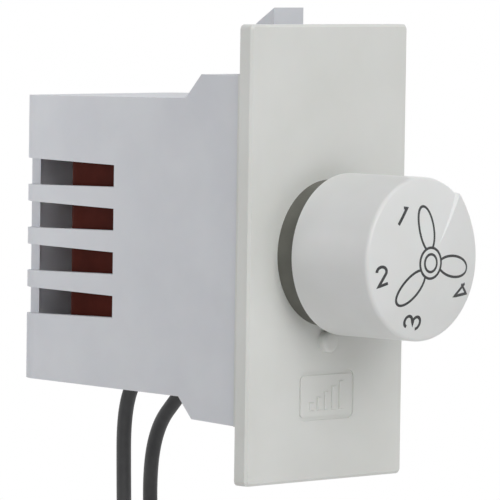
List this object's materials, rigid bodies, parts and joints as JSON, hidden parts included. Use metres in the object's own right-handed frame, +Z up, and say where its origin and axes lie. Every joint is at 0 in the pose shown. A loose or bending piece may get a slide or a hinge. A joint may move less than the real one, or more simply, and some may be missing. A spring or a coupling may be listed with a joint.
{
  "type": "fan speed control switch",
  "caption": "One-module rotary fan speed control with a round knob on a tall plate, a ventilated rear housing and two black flying leads.",
  "frame": {"origin": "centre of the front plate's flat rear seat, where the plate meets its mounting frame", "axes": "+X to the right seen from the front, +Y back into the wall, +Z up"},
  "size_m": [0.0226, 0.0467, 0.122],
  "materials": {
    "plate_plastic": "satin white moulding",
    "collar_plastic": "matt olive-grey moulding",
    "housing_plastic": "matt cool white moulding",
    "knob_plastic": "satin white moulding with grey print",
    "nylon": "natural nylon",
    "spring_steel": "bright zinc-plated steel",
    "switch_plastic": "black phenolic moulding",
    "contact_brass": "plain brass strip",
    "board_laminate": "brown paper laminate",
    "capacitor_case": "dark red-brown epoxy",
    "tinned_wire": "tinned copper and solder",
    "resistor_coat": "beige lacquer",
    "lead_insulation": "black flexible insulation"
  },
  "bodies": {
    "fixed": {"front_plate": "plate_plastic", "collar_ring": "collar_plastic", "rear_housing": "housing_plastic", "switch_body": "switch_plastic", "switch_screws": "spring_steel", "detent_spring": "spring_steel", "contact_wafer": "board_laminate", "fixed_contacts": "contact_brass", "common_contact": "contact_brass", "circuit_board": "board_laminate", "capacitor_large": "capacitor_case", "capacitor_small": "capacitor_case", "capacitor_leads": "tinned_wire", "resistor_bodies": "resistor_coat", "resistor_leads": "tinned_wire", "solder_joints": "tinned_wire", "lead_wire_a": "lead_insulation", "lead_wire_b": "lead_insulation", "lead_tip_a": "tinned_wire", "lead_tip_b": "tinned_wire"},
    "rotor": {"knob": "knob_plastic", "spindle": "nylon", "knob_spring": "spring_steel", "detent_wheel": "nylon", "wiper_carrier": "switch_plastic", "wiper_contact": "contact_brass"},
    "ball": {"detent_ball": "spring_steel"}
  },
  "joints": [
    {"name": "knob_turn", "type": "hinge", "parent": "fixed", "child": "rotor", "pos_m": [0, 0, 0], "axis": [0, -1, 0], "range_deg": [-72, 216]},
    {"name": "ball_slide", "type": "slide", "parent": "fixed", "child": "ball", "axis": [0, 0, 1], "range_m": [-0.0008, 0], "stiffness_N_per_m": 300, "springref_m": -0.0008, "deforming": ["detent_spring"]}
  ]
}
